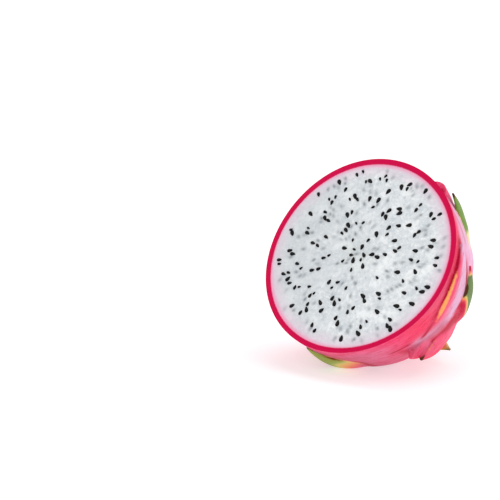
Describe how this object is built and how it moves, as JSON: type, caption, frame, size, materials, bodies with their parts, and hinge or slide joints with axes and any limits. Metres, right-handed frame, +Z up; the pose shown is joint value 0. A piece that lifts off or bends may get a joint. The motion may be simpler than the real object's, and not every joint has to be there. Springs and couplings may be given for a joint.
{
  "type": "halved dragon fruit",
  "caption": "Half of a ripe dragon fruit lying on its side: magenta skin with leafy green-tipped scales, and a flat cut face of white pulp full of black seeds.",
  "frame": {"origin": "middle of the flat spot on the fruit's underside, on the surface that it rests on", "axes": "+Z up, -Y the side that the cut face looks to (it is tipped up by 32.3 degrees), +X to the right seen from the cut"},
  "size_m": [0.0939, 0.0833, 0.0882],
  "materials": {
    "skin": "satin",
    "pulp": "gloss",
    "seed": "gloss"
  },
  "bodies": {
    "root": {"skin": "skin", "pulp": "pulp"}
  },
  "joints": []
}
